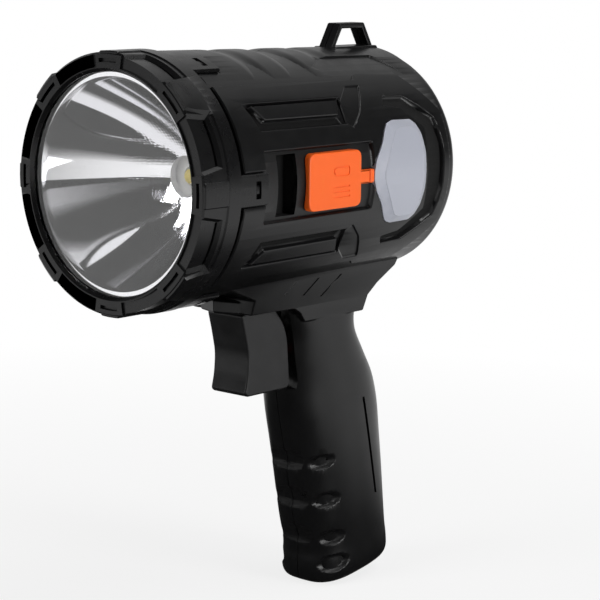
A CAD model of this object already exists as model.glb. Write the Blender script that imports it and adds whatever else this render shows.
"""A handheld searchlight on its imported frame: moulded housing, bezel, mirror, lens, flap, side lamp and trigger.

Metres. The beam leaves along -Y, +Z is up, and +X is the side with the charging flap and the side lamp.
"""

from math import cos, hypot, pi, radians, sin

import bmesh
import bpy
from mathutils import Matrix, Vector


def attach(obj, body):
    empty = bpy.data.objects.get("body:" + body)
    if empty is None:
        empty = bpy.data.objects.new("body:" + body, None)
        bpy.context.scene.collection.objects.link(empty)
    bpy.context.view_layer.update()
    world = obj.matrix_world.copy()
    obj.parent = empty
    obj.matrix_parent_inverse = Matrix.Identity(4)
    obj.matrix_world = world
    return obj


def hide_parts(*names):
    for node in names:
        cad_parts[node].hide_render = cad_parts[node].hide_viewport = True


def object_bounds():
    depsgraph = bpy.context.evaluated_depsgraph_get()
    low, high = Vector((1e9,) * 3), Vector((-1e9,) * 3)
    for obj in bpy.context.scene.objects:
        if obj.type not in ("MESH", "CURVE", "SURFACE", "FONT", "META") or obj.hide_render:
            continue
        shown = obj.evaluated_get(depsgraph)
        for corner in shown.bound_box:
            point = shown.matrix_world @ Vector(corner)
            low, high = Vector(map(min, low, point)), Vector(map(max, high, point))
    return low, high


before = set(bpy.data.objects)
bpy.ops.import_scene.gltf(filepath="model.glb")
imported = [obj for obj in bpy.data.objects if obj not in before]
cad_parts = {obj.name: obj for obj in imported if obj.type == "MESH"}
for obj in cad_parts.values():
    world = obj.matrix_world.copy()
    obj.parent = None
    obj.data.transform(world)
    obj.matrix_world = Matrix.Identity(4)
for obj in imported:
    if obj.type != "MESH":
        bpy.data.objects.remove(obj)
cad_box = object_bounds()

# Camera: level with the lamp's head, ahead of it and to its left, at the distance that gives the same perspective
CAMERA_AZIMUTH = radians(41.17)
CAMERA_ELEVATION = radians(9.73)
CAMERA_ROLL = radians(0.54)
CAMERA_DISTANCE = 0.7624
CAMERA_TARGET = Vector((0.03709, 0.0585, -0.04346))
LENS_MM = 126.3
back = Vector(
    (
        sin(CAMERA_AZIMUTH) * cos(CAMERA_ELEVATION),
        -cos(CAMERA_AZIMUTH) * cos(CAMERA_ELEVATION),
        sin(CAMERA_ELEVATION),
    )
)
level = Vector((cos(CAMERA_AZIMUTH), sin(CAMERA_AZIMUTH), 0))
upright = back.cross(level)
right = level * cos(CAMERA_ROLL) + upright * sin(CAMERA_ROLL)
up = upright * cos(CAMERA_ROLL) - level * sin(CAMERA_ROLL)
camera = bpy.data.objects.new("camera", bpy.data.cameras.new("camera"))
camera.data.lens = LENS_MM
camera.data.sensor_width = 36
camera.matrix_world = Matrix.Translation(CAMERA_TARGET + back * CAMERA_DISTANCE) @ Matrix(
    [(right[i], up[i], back[i]) for i in range(3)]
).to_4x4()
bpy.context.scene.collection.objects.link(camera)
bpy.context.scene.camera = camera
bpy.context.scene.view_settings.view_transform = "Standard"


# Studio: a white backdrop and floor behind the object, a dim room in front of it, a big soft box over the lens side, a
# strip over the top and a tall one on the flap's side
def plain_nodes(name):
    """A material with an empty tree, and its output node."""
    made = bpy.data.materials.new(name)
    made.use_nodes = True
    made.node_tree.nodes.clear()
    return made, made.node_tree.nodes.new("ShaderNodeOutputMaterial")


def soft_box(name, place, aim, size, power):
    made = bpy.data.objects.new(name, bpy.data.lights.new(name, "AREA"))
    made.data.shape = "RECTANGLE"
    made.data.size, made.data.size_y = size
    made.data.energy = power
    made.location = place
    made.rotation_euler = (Vector(aim) - Vector(place)).to_track_quat("-Z", "Y").to_euler()
    bpy.context.scene.collection.objects.link(made)
    return made


FLOOR_DROP = 0.0005
FLOOR_HALF = 4.0
floor_mesh = bmesh.new()
bmesh.ops.create_grid(
    floor_mesh,
    x_segments=1,
    y_segments=1,
    size=FLOOR_HALF,
    matrix=Matrix.Translation((0, 0, cad_box[0][2] - FLOOR_DROP)),
)
floor_data = bpy.data.meshes.new("floor")
floor_mesh.to_mesh(floor_data)
floor = bpy.data.objects.new("floor", floor_data)
bpy.context.scene.collection.objects.link(floor)
sweep, sweep_out = plain_nodes("white_sweep")
sweep_tree = sweep.node_tree
paper = sweep_tree.nodes.new("ShaderNodeBsdfDiffuse")
paper.inputs["Color"].default_value = (0.9, 0.9, 0.9, 1)
bright = sweep_tree.nodes.new("ShaderNodeEmission")
seen = sweep_tree.nodes.new("ShaderNodeLightPath")
bent = sweep_tree.nodes.new("ShaderNodeMath")
bent.operation = "MAXIMUM"
ground_spot = sweep_tree.nodes.new("ShaderNodeTexCoord")
away = sweep_tree.nodes.new("ShaderNodeVectorMath")
away.operation = "LENGTH"
whiter = sweep_tree.nodes.new("ShaderNodeMapRange")
whiter.inputs["From Min"].default_value = 0.20
whiter.inputs["From Max"].default_value = 0.60
whiter.inputs["To Min"].default_value = 0.80
mirrored_floor = sweep_tree.nodes.new("ShaderNodeMapRange")
mirrored_floor.inputs["From Min"].default_value = 0.27
mirrored_floor.inputs["From Max"].default_value = 0.40
mirrored_floor.inputs["To Min"].default_value = 0.03
share = sweep_tree.nodes.new("ShaderNodeMath")
share.operation = "MULTIPLY"
fraction = sweep_tree.nodes.new("ShaderNodeMath")
fraction.operation = "MAXIMUM"
strength = sweep_tree.nodes.new("ShaderNodeMath")
strength.operation = "MAXIMUM"
mix = sweep_tree.nodes.new("ShaderNodeMixShader")
sweep_tree.links.new(seen.outputs["Is Glossy Ray"], bent.inputs[0])
sweep_tree.links.new(seen.outputs["Is Transmission Ray"], bent.inputs[1])
sweep_tree.links.new(ground_spot.outputs["Object"], away.inputs[0])
sweep_tree.links.new(away.outputs["Value"], whiter.inputs["Value"])
sweep_tree.links.new(away.outputs["Value"], mirrored_floor.inputs["Value"])
sweep_tree.links.new(seen.outputs["Is Camera Ray"], share.inputs[0])
sweep_tree.links.new(whiter.outputs[0], share.inputs[1])
sweep_tree.links.new(share.outputs[0], fraction.inputs[0])
sweep_tree.links.new(bent.outputs[0], fraction.inputs[1])
sweep_tree.links.new(seen.outputs["Is Camera Ray"], strength.inputs[0])
sweep_tree.links.new(mirrored_floor.outputs[0], strength.inputs[1])
sweep_tree.links.new(strength.outputs[0], bright.inputs["Strength"])
sweep_tree.links.new(fraction.outputs[0], mix.inputs[0])
sweep_tree.links.new(paper.outputs[0], mix.inputs[1])
sweep_tree.links.new(bright.outputs[0], mix.inputs[2])
sweep_tree.links.new(mix.outputs[0], sweep_out.inputs["Surface"])
floor_data.materials.append(sweep)

ROOM_LIGHT = 0.13
ROOM_MIRRORED = 0.02  # the room as shiny surfaces show it
WALL_MIRRORED = 0.55
world = bpy.data.worlds.new("studio")
bpy.context.scene.world = world
world.use_nodes = True
sky = world.node_tree
sky.nodes.clear()
sky_out = sky.nodes.new("ShaderNodeOutputWorld")
room = sky.nodes.new("ShaderNodeBackground")
room.inputs["Color"].default_value = (1, 1, 1, 1)
white = sky.nodes.new("ShaderNodeBackground")
white.inputs["Color"].default_value = (1, 1, 1, 1)
white.inputs["Strength"].default_value = 1.0
path = sky.nodes.new("ShaderNodeLightPath")
way = sky.nodes.new("ShaderNodeTexCoord")
facing = sky.nodes.new("ShaderNodeVectorMath")
facing.operation = "DOT_PRODUCT"
facing.inputs[1].default_value = -back
behind = sky.nodes.new("ShaderNodeMapRange")
behind.inputs["From Min"].default_value = 0.30
behind.inputs["From Max"].default_value = 0.60
behind.inputs["To Max"].default_value = WALL_MIRRORED
dimmer = sky.nodes.new("ShaderNodeMapRange")
dimmer.inputs["To Min"].default_value = ROOM_LIGHT
dimmer.inputs["To Max"].default_value = ROOM_MIRRORED
bent = sky.nodes.new("ShaderNodeMath")
bent.operation = "MAXIMUM"
shown = sky.nodes.new("ShaderNodeMath")
shown.operation = "MULTIPLY"
sky_share = sky.nodes.new("ShaderNodeMath")
sky_share.operation = "MAXIMUM"
sky_mix = sky.nodes.new("ShaderNodeMixShader")
sky.links.new(way.outputs["Generated"], facing.inputs[0])
sky.links.new(facing.outputs["Value"], behind.inputs["Value"])
sky.links.new(path.outputs["Is Glossy Ray"], bent.inputs[0])
sky.links.new(path.outputs["Is Transmission Ray"], bent.inputs[1])
sky.links.new(bent.outputs[0], shown.inputs[0])
sky.links.new(behind.outputs[0], shown.inputs[1])
sky.links.new(path.outputs["Is Camera Ray"], sky_share.inputs[0])
sky.links.new(shown.outputs[0], sky_share.inputs[1])
sky.links.new(sky_share.outputs[0], sky_mix.inputs[0])
sky.links.new(bent.outputs[0], dimmer.inputs["Value"])
sky.links.new(dimmer.outputs[0], room.inputs["Strength"])
sky.links.new(room.outputs[0], sky_mix.inputs[1])
sky.links.new(white.outputs[0], sky_mix.inputs[2])
sky.links.new(sky_mix.outputs[0], sky_out.inputs["Surface"])

soft_box("key_box", (-0.35, -1.2, 0.55), (0, 0.03, -0.02), (0.7, 0.7), 9)
soft_box("top_box", (0.45, 0.40, 1.1), (0, 0.06, 0), (1.0, 0.35), 4)
soft_box("side_box", (1.3, 0.25, 0.10), (0, 0.06, -0.02), (0.5, 1.1), 13)


# Housing: two half shells moulded in black ABS. A round barrel carries a raised crown and a stepped armour plate on
# each side; the neck and the hollow grip hang under it, and a lanyard loop stands on its rear.
WALL = 0.0024
BODY_FRONT = 0.0195
BODY_LENGTH = 0.1240
BODY_REAR = BODY_FRONT + BODY_LENGTH
BODY_FRONT_RADIUS = 0.0460
BODY_TAPER = 0.0020
RELIEF = 0.0011  # from the armour down to the ground surface
CHAMFER = 0.0004
OVER = 0.0030  # how far a cutter stands outside what it cuts
ROUND = 192
WRAP = 0.045  # radius at which an outline's degrees are laid out flat
STRIP = 0.0030
MERGE = 0.000001
CREASE = radians(32)


def object_of(name, bm):
    bmesh.ops.recalc_face_normals(bm, faces=bm.faces)
    mesh = bpy.data.meshes.new(name)
    bm.to_mesh(mesh)
    bm.free()
    made = bpy.data.objects.new(name, mesh)
    bpy.context.scene.collection.objects.link(made)
    return made


def combine(target, tools, operation, solver="MANIFOLD"):
    """Joins, cuts or keeps the target with each tool, and removes the tools."""
    for tool in tools:
        modifier = target.modifiers.new(tool.name, "BOOLEAN")
        modifier.solver = solver
        modifier.operation = operation
        modifier.object = tool
    bpy.context.view_layer.update()
    graph = bpy.context.evaluated_depsgraph_get()
    result = bpy.data.meshes.new_from_object(target.evaluated_get(graph))
    target.modifiers.clear()
    target.data = result
    for tool in tools:
        bpy.data.objects.remove(tool)
    return target


def fuse(target, *tools, solver="MANIFOLD"):
    return combine(target, tools, "UNION", solver)


def cut(target, *tools, solver="MANIFOLD"):
    return combine(target, tools, "DIFFERENCE", solver)


def keep(target, *tools, solver="MANIFOLD"):
    return combine(target, tools, "INTERSECT", solver)


def copy_of(made):
    twin = bpy.data.objects.new(made.name, made.data.copy())
    bpy.context.scene.collection.objects.link(twin)
    return twin


def turned(profile, segments=ROUND):
    """Spins a profile of (radius, y) points about the beam axis. It may end on the axis or close on itself."""
    bm = bmesh.new()
    points = [bm.verts.new((radius, y, 0)) for radius, y in profile]
    edges = [bm.edges.new(pair) for pair in zip(points, points[1:])]
    if profile[0][0] or profile[-1][0]:
        edges.append(bm.edges.new((points[-1], points[0])))
    bmesh.ops.spin(
        bm, geom=points + edges, cent=(0, 0, 0), axis=(0, 1, 0), angle=2 * pi, steps=segments, use_merge=True
    )
    bmesh.ops.remove_doubles(bm, verts=bm.verts, dist=MERGE)
    return object_of("turned", bm)


def block(low, high, bevel=0.0):
    """A box between two corners, with its edges rounded by the bevel."""
    bm = bmesh.new()
    low, high = Vector(low), Vector(high)
    place = Matrix.Translation((low + high) / 2) @ Matrix.Diagonal((*(high - low), 1))
    bmesh.ops.create_cube(bm, size=1, matrix=place)
    if bevel:
        bmesh.ops.bevel(bm, geom=bm.edges[:], offset=bevel, segments=3, profile=0.5, affect="EDGES", material=-1)
    return object_of("block", bm)


def rod(start, end, radius, segments=48):
    start, end = Vector(start), Vector(end)
    turn = (end - start).to_track_quat("Z", "Y").to_matrix().to_4x4()
    bm = bmesh.new()
    bmesh.ops.create_cone(
        bm,
        cap_ends=True,
        segments=segments,
        radius1=radius,
        radius2=radius,
        depth=(end - start).length,
        matrix=Matrix.Translation((start + end) / 2) @ turn,
    )
    return object_of("rod", bm)


def slab(outline, low, high, bevel=0.0, steps=3):
    """Extrudes an outline of (y, z) points along X, with its edges rounded by the bevel."""
    bm = bmesh.new()
    face = bm.faces.new([bm.verts.new((low, y, z)) for y, z in outline])
    raised = bmesh.ops.extrude_face_region(bm, geom=[face])["geom"]
    top = [item for item in raised if isinstance(item, bmesh.types.BMVert)]
    bmesh.ops.translate(bm, verts=top, vec=(high - low, 0, 0))
    if bevel:
        bmesh.ops.bevel(bm, geom=bm.edges[:], offset=bevel, segments=steps, profile=0.5, affect="EDGES", material=-1)
    return object_of("slab", bm)


def loft(rings, bevel=0.0):
    """Bridges closed rings of equal count and caps both ends."""
    bm = bmesh.new()
    loops = []
    for ring in rings:
        points = [bm.verts.new(point) for point in ring]
        loops.append([bm.edges.new((points[i - 1], points[i])) for i in range(len(points))])
    for loop, following in zip(loops, loops[1:]):
        bmesh.ops.bridge_loops(bm, edges=loop + following)
    bmesh.ops.holes_fill(bm, edges=[edge for edge in bm.edges if edge.is_boundary])
    if bevel:
        sharp = [edge for edge in bm.edges if edge.calc_face_angle(0) > CREASE]
        bmesh.ops.bevel(bm, geom=sharp, offset=bevel, segments=3, profile=0.5, affect="EDGES", material=-1)
    return object_of("loft", bm)


def rounded(outline, radius, steps=3):
    """The outline with each corner replaced by a short curve."""
    result = []
    for i, corner in enumerate(outline):
        before, corner, after = Vector(outline[i - 1]), Vector(corner), Vector(outline[(i + 1) % len(outline)])
        to_before, to_after = before - corner, after - corner
        reach = min(radius, to_before.length / 2.1, to_after.length / 2.1)
        start, end = corner + to_before.normalized() * reach, corner + to_after.normalized() * reach
        for k in range(steps + 1):
            t = k / steps
            result.append(tuple(start * (1 - t) ** 2 + corner * 2 * t * (1 - t) + end * t**2))
    return result


def grown(outline, margin):
    """The outline moved outwards by a margin, whichever way it turns."""
    count = len(outline)
    area = sum(outline[i - 1][0] * outline[i][1] - outline[i][0] * outline[i - 1][1] for i in range(count))
    side = 1 if area > 0 else -1
    result = []
    for i in range(count):
        before, corner, after = (Vector(outline[(i + k) % count]) for k in (-1, 0, 1))
        first, second = (corner - before).normalized(), (after - corner).normalized()
        mitre = Vector((first.y, -first.x)) + Vector((second.y, -second.x))
        result.append(tuple(corner + mitre * (2 * side * margin / mitre.length_squared)))
    return result


def armour_radius(y):
    return BODY_FRONT_RADIUS - BODY_TAPER * (y - BODY_FRONT) / BODY_LENGTH


def along(share):
    return BODY_FRONT + share * BODY_LENGTH


def on_barrel(places):
    """Places on the barrel, given as a share of its length and degrees from +X, laid out flat."""
    return [(along(share), radians(angle) * WRAP) for share, angle in places]


def mirrored(places):
    """Closes half an outline, given from its front to its rear above the axis, with its mirror image."""
    return places + [(share, -angle) for share, angle in reversed(places) if angle]


def below(places):
    return [(share, -angle) for share, angle in places]


def relief(outline, levels, side=1, radius_at=armour_radius):
    """A form wrapped round the barrel. Each level is how far its ring stands outside the outline, or an outline of
    its own, and how high it lies over the barrel. The form is built flat, cut into narrow strips, and then bent."""
    bm = bmesh.new()
    rings = [(grown(outline, edge) if isinstance(edge, (int, float)) else edge, height) for edge, height in levels]
    places, height = rings[0]
    ring = [bm.verts.new((height, y, s)) for y, s in places]
    bm.faces.new(ring)
    edges = [bm.edges.get((ring[i - 1], ring[i])) for i in range(len(ring))]
    for places, height in rings[1:]:
        made = bmesh.ops.extrude_edge_only(bm, edges=edges)["geom"]
        edges = [item for item in made if isinstance(item, bmesh.types.BMEdge)]
        fresh = {item for item in made if isinstance(item, bmesh.types.BMVert)}
        ring = [next(e.other_vert(v) for e in v.link_edges if e.other_vert(v) in fresh) for v in ring]
        for vert, (y, s) in zip(ring, places):
            vert.co = (height, y, s)
    bm.faces.new(ring)
    spread = [vert.co.z for vert in bm.verts]
    s = min(spread) + STRIP / 3
    while s < max(spread):
        everything = bm.verts[:] + bm.edges[:] + bm.faces[:]
        bmesh.ops.bisect_plane(bm, geom=everything, dist=MERGE, plane_co=(0, 0, s), plane_no=(0, 0, 1))
        s += STRIP
    for vert in bm.verts:
        height, y, s = vert.co
        radius, turn = radius_at(y) + height, s / WRAP
        vert.co = (side * radius * cos(turn), y, radius * sin(turn))
    return object_of("relief", bm)


def pocket(outline, depth, side=1, corner=0.0006, chamfer=CHAMFER, draft=0.0003, radius_at=armour_radius):
    """A cutter for a recess with a chamfered brim and walls that draw in a little towards its floor."""
    levels = [(chamfer + OVER, OVER), (0, -chamfer), (-draft, -depth)]
    return relief(rounded(outline, corner), levels, side, radius_at)


def pad_on(outline, root, height, side=1, corner=0.0006, chamfer=CHAMFER, radius_at=armour_radius):
    """A raised plate with a chamfered edge, rooted below the surface."""
    levels = [(0, -root), (0, height - chamfer), (-chamfer, height)]
    return relief(rounded(outline, corner), levels, side, radius_at)


def softened(made, offset, steps=2):
    """Rounds the sharp edges of a finished form."""
    bm = bmesh.new()
    bm.from_mesh(made.data)
    bmesh.ops.remove_doubles(bm, verts=bm.verts, dist=MERGE)
    bmesh.ops.dissolve_limit(bm, angle_limit=radians(1), verts=bm.verts, edges=bm.edges)
    sharp = [edge for edge in bm.edges if edge.calc_face_angle(0) > CREASE]
    bmesh.ops.bevel(
        bm, geom=sharp, offset=offset, segments=steps, profile=0.5, affect="EDGES", clamp_overlap=True, material=-1
    )
    bm.to_mesh(made.data)
    bm.free()
    return made


def smooth_run(stations, between):
    """The stations with others on a smooth curve between them."""
    run = []
    ends = [[2 * a - b for a, b in zip(stations[0], stations[1])], *stations]
    ends.append([2 * a - b for a, b in zip(stations[-1], stations[-2])])
    for a, b, c, d in zip(ends, ends[1:], ends[2:], ends[3:]):
        for k in range(between):
            t = k / between
            terms = zip(a, b, c, d)
            run.append(
                [(2 * q + (r - p) * t + (2 * p - 5 * q + 4 * r - w) * t**2 + (3 * q - p - 3 * r + w) * t**3) / 2
                 for p, q, r, w in terms]
            )
    return run + [list(stations[-1])]


GAP = 0.0003
SPIGOT_FRONT = 0.0061
SPIGOT_RADIUS = 0.0436
SPIGOT_REAR = 0.0167
GROOVE_RADIUS = 0.0416
REAR_CORNER = 0.0040
EDGE = 0.0005
ground_front = armour_radius(BODY_FRONT) - RELIEF
ground_rear = armour_radius(BODY_REAR) - RELIEF
rear_round = [
    (ground_rear - REAR_CORNER * (1 - cos(pi / 24 * i)), BODY_REAR - REAR_CORNER * (1 - sin(pi / 24 * i)))
    for i in range(13)
]
housing = turned(
    [
        (0, SPIGOT_FRONT),
        (SPIGOT_RADIUS - EDGE, SPIGOT_FRONT),
        (SPIGOT_RADIUS, SPIGOT_FRONT + EDGE),
        (SPIGOT_RADIUS, SPIGOT_REAR),
        (GROOVE_RADIUS, SPIGOT_REAR),
        (GROOVE_RADIUS, BODY_FRONT),
        (ground_front - EDGE, BODY_FRONT),
        (ground_front, BODY_FRONT + EDGE),
    ]
    + rear_round
    + [(0, BODY_REAR)]
)

# The crown is a slightly smaller cylinder, raised until it stands as high as the armour, with three shallow flutes
CROWN_SHIFT = 0.0051
CROWN_END_SHARE = 0.965
FLUTES = ((0.255, 0.0007, 0.0060), (0.43, 0.0013, 0.0080), (0.60, 0.0007, 0.0060))
FLUTE_STEPS = 16
crown_rear = along(CROWN_END_SHARE)
crown_profile = [(0, BODY_FRONT), (armour_radius(BODY_FRONT) - CROWN_SHIFT - EDGE, BODY_FRONT)]
crown_profile.append((armour_radius(BODY_FRONT) - CROWN_SHIFT, BODY_FRONT + EDGE))
for flute_share, depth, half_width in FLUTES:
    for i in range(FLUTE_STEPS + 1):
        across = 2 * i / FLUTE_STEPS - 1
        y = along(flute_share) + half_width * across
        crown_profile.append((armour_radius(y) - CROWN_SHIFT - depth * (1 + cos(pi * across)) / 2, y))
crown_profile.append((armour_radius(crown_rear) - CROWN_SHIFT, crown_rear - EDGE))
crown_profile.append((armour_radius(crown_rear) - CROWN_SHIFT - EDGE, crown_rear))
crown = turned(crown_profile + [(0, crown_rear)])
crown.data.transform(Matrix.Translation((0, 0, CROWN_SHIFT)))
SCOOP = ((0.505, 62), (0.585, 47), (0.82, 47), (0.93, 31), (0.93, 45), (0.84, 71), (0.60, 71))
SCOOP_DEPTH = 0.0017
cut(crown, *[pocket(on_barrel(SCOOP), SCOOP_DEPTH, side, draft=0.0008) for side in (1, -1)])

PLATE = [(0, 50), (0.62, 50), (0.65, 54), (0.835, 54), (0.95, 29)]
plate_root = RELIEF + WALL / 2
plates = [pad_on(on_barrel(mirrored(PLATE)), plate_root, 0, side, chamfer=EDGE) for side in (1, -1)]

# Neck: its sides draw in from the barrel down to the grip, and its front runs forward under the barrel as a chin
GRIP_HALF = 0.0150
GRIP_HEIGHT = 0.1272
GRIP_REACH = 0.0500
GRIP_TOP = -0.0400
GRIP_FRONT = 0.0825
NECK_HALF = 0.0202
NECK_DROP = 0.0120
NECK_LENGTH = 0.0870
NECK_START = 0.0550
NECK_BOTTOM = GRIP_TOP - NECK_DROP
NECK_SHOULDER = GRIP_TOP + 0.0015
NECK = (
    (-0.165, -0.33),
    (-0.165, 0.02),
    (0.012, 0.50),
    (0.018, 1),
    (0.24, 1),
    (0.30, 1.05),
    (0.34, 1.22),
    (0.365, 1.5),
    (0.765, 1.5),
    (0.80, 1.0),
    (0.84, 0.62),
    (0.930, 0.08),
    (0.940, -0.33),
)


def neck_half(z):
    share = (NECK_SHOULDER - z) / (NECK_SHOULDER - NECK_BOTTOM)
    return NECK_HALF + (GRIP_HALF - NECK_HALF) * min(1, max(0, share))


neck = slab([(NECK_START + a * NECK_LENGTH, GRIP_TOP - b * NECK_DROP) for a, b in NECK], -NECK_HALF, NECK_HALF)
for side in (1, -1):
    low, high = NECK_START + NECK[0][0] * NECK_LENGTH - OVER, NECK_START + NECK_LENGTH + OVER
    wedge = [
        (side * NECK_HALF, NECK_SHOULDER),
        (side * (NECK_HALF + OVER), NECK_SHOULDER),
        (side * (NECK_HALF + OVER), NECK_BOTTOM - NECK_DROP),
        (side * GRIP_HALF, NECK_BOTTOM - NECK_DROP),
        (side * GRIP_HALF, NECK_BOTTOM),
    ]
    cut(neck, loft([[(x, y, z) for x, z in wedge] for y in (low, high)]))
softened(neck, 0.0007)

# The neck's nose is a blunt prow over the trigger, with a roof that slopes up to the barrel
NOSE_TIP = 0.0520
NOSE_SHOULDER = (0.0095, 0.0552)
NOSE_SIDE = (0.0118, 0.0582)
NOSE_END = 0.0640
NOSE_SOFT = 0.0007
NOSE_LEVELS = ((NECK_BOTTOM - GAP, -NOSE_SOFT), (NECK_BOTTOM - GAP + NOSE_SOFT, 0), (NECK_BOTTOM + 0.0045, 0))
NOSE_RIDGE = (NECK_BOTTOM + 0.0085, 0.0604, 0.30)
nose_plan = [(-NOSE_SIDE[0], NOSE_SIDE[1]), (-NOSE_SHOULDER[0], NOSE_SHOULDER[1]), (0, NOSE_TIP), NOSE_SHOULDER, NOSE_SIDE]
nose_plan += [(NOSE_SIDE[0], NOSE_END), (-NOSE_SIDE[0], NOSE_END)]
nose_rings = [[(x, y, z) for x, y in grown(nose_plan, margin)] for z, margin in NOSE_LEVELS]
ridge_z, ridge_y, ridge_width = NOSE_RIDGE
nose_rings.append([(x * ridge_width, ridge_y + (y - NOSE_TIP) * ridge_width, ridge_z) for x, y in nose_plan])
nose_block = softened(loft(nose_rings), 0.0004)

# Grip: stations down its length, each with the drop and reach of its front, then of its rear, as shares of its
# height and reach, its half width as a share, and how square it is
GRIP = (
    (0.000, 0.00, 0.000, 0.97, 1.00, 5.0),
    (0.079, 0.00, 0.079, 0.87, 1.00, 5.0),
    (0.134, 0.02, 0.134, 0.78, 1.00, 4.5),
    (0.197, 0.05, 0.197, 0.81, 0.99, 3.6),
    (0.275, 0.06, 0.275, 0.95, 0.99, 3.0),
    (0.354, 0.09, 0.354, 1.08, 1.00, 2.8),
    (0.448, 0.13, 0.440, 1.144, 1.02, 2.8),
    (0.550, 0.19, 0.539, 1.174, 1.03, 2.8),
    (0.668, 0.25, 0.645, 1.206, 1.03, 2.8),
    (0.786, 0.31, 0.755, 1.234, 1.03, 2.8),
    (0.881, 0.37, 0.841, 1.256, 1.03, 2.8),
    (0.930, 0.368, 0.882, 1.2685, 1.04, 2.9),
    (0.966, 0.374, 0.920, 1.2685, 1.04, 3.0),
    (0.988, 0.396, 0.941, 1.250, 0.98, 3.0),
    (0.9995, 0.450, 0.954, 1.200, 0.88, 3.0),
)
GRIP_POINTS = 96


def grip_ring(station, inset=0.0):
    front_drop, front_reach, rear_drop, rear_reach, width_share, square = station
    front, rear = GRIP_FRONT + front_reach * GRIP_REACH + inset, GRIP_FRONT + rear_reach * GRIP_REACH - inset
    ring = []
    for i in range(GRIP_POINTS):
        turn = 2 * pi * (i + 0.5) / GRIP_POINTS
        across = abs(cos(turn)) ** (2 / square) * (1 if cos(turn) > 0 else -1)
        way = (abs(sin(turn)) ** (2 / square) * (1 if sin(turn) > 0 else -1) + 1) / 2
        drop = front_drop + (rear_drop - front_drop) * way
        ring.append((across * (GRIP_HALF * width_share - inset), front + (rear - front) * way, GRIP_TOP - drop * GRIP_HEIGHT))
    return ring


def grip_spot(drop, reach):
    return GRIP_FRONT + reach * GRIP_REACH, GRIP_TOP - drop * GRIP_HEIGHT


grip = loft([grip_ring(station) for station in smooth_run(GRIP, 5)])
FINGERS = ((0.60, 0.175), (0.725, 0.24), (0.85, 0.305))
FINGER_RADIUS = 0.0070
for drop, reach in FINGERS:
    y, z = grip_spot(drop, reach)
    y -= FINGER_RADIUS / 2
    cut(grip, rod((-GRIP_HALF * 2, y, z), (GRIP_HALF * 2, y, z), FINGER_RADIUS, 96))

# Hollows that carry the finger recesses on round to the grip's sides, and a groove that sets the back strap off
HOLLOWS = (*FINGERS, (0.930, 0.335))
HOLLOW_SPOT = (0.0120, 0.0065)  # from the middle plane, and behind the finger recess's own place
HOLLOW_SIZE = (0.0070, 0.0180, 0.0050)
HOLLOW_DEPTH = 0.0019
HOLLOW_TURN = radians(24)
HOLLOW_LEAN = radians(8)
STRAP_LINE = ((0.415, 0.800), (0.735, 0.975))
STRAP_WIDTH = 0.0015
STRAP_DEPTH = 0.0016
for side in (1, -1):
    for drop, reach in HOLLOWS:
        y, z = grip_spot(drop, reach)
        stand_off = HOLLOW_SIZE[0] - HOLLOW_DEPTH
        bm = bmesh.new()
        bmesh.ops.create_uvsphere(bm, u_segments=64, v_segments=32, radius=1)
        bmesh.ops.scale(bm, verts=bm.verts, vec=HOLLOW_SIZE)
        bmesh.ops.rotate(bm, verts=bm.verts, cent=(0, 0, 0), matrix=Matrix.Rotation(HOLLOW_LEAN, 3, "X"))
        bmesh.ops.rotate(bm, verts=bm.verts, cent=(0, 0, 0), matrix=Matrix.Rotation(-side * HOLLOW_TURN, 3, "Z"))
        x = side * (HOLLOW_SPOT[0] + stand_off * cos(HOLLOW_TURN))
        bmesh.ops.translate(bm, verts=bm.verts, vec=(x, y + HOLLOW_SPOT[1] - stand_off * sin(HOLLOW_TURN), z))
        cut(grip, object_of("hollow", bm))
    strap = []
    for drop, reach in STRAP_LINE:
        y, z = grip_spot(drop, reach)
        inner, outer = side * (GRIP_HALF - STRAP_DEPTH), side * (GRIP_HALF + OVER)
        low, high = y - STRAP_WIDTH / 2, y + STRAP_WIDTH / 2
        strap.append([(inner, low, z), (outer, low, z), (outer, high, z), (inner, high, z)])
    cut(grip, loft(strap))

# Lanyard loop, a trapezoid strap on a wider foot
LOOP_MIDDLE = 0.1266
LOOP_BASE = 0.0278
LOOP_CREST = 0.0144
LOOP_TOP = 0.0535
LOOP_BOTTOM = 0.0420
LOOP_THICKNESS = 0.0021
LOOP_WIDTH = 0.0066
LOOP_FOOT_WIDTH = 0.0110
LOOP_SILL = 0.0446
loop_slope = (LOOP_BASE - LOOP_CREST) / 2 / (LOOP_TOP - LOOP_BOTTOM)
loop_leg = LOOP_THICKNESS * hypot(1, loop_slope)


def trapezoid(bottom, top, inset):
    low, high = (LOOP_CREST / 2 + loop_slope * (LOOP_TOP - z) - inset for z in (bottom, top))
    middle = LOOP_MIDDLE
    return [(middle - low, bottom), (middle + low, bottom), (middle + high, top), (middle - high, top)]


loop = slab(trapezoid(LOOP_BOTTOM, LOOP_TOP, 0), -LOOP_WIDTH / 2, LOOP_WIDTH / 2)
cut(loop, slab(trapezoid(LOOP_SILL - GAP, LOOP_TOP - LOOP_THICKNESS, loop_leg), -LOOP_WIDTH, LOOP_WIDTH))
softened(loop, 0.0005)
loop_foot = slab(trapezoid(LOOP_BOTTOM - GAP, LOOP_SILL, -GAP / 2), -LOOP_FOOT_WIDTH / 2, LOOP_FOOT_WIDTH / 2)
softened(loop_foot, 0.0005)
fuse(housing, crown, *plates, neck, nose_block, grip, loop_foot, loop)

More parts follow.
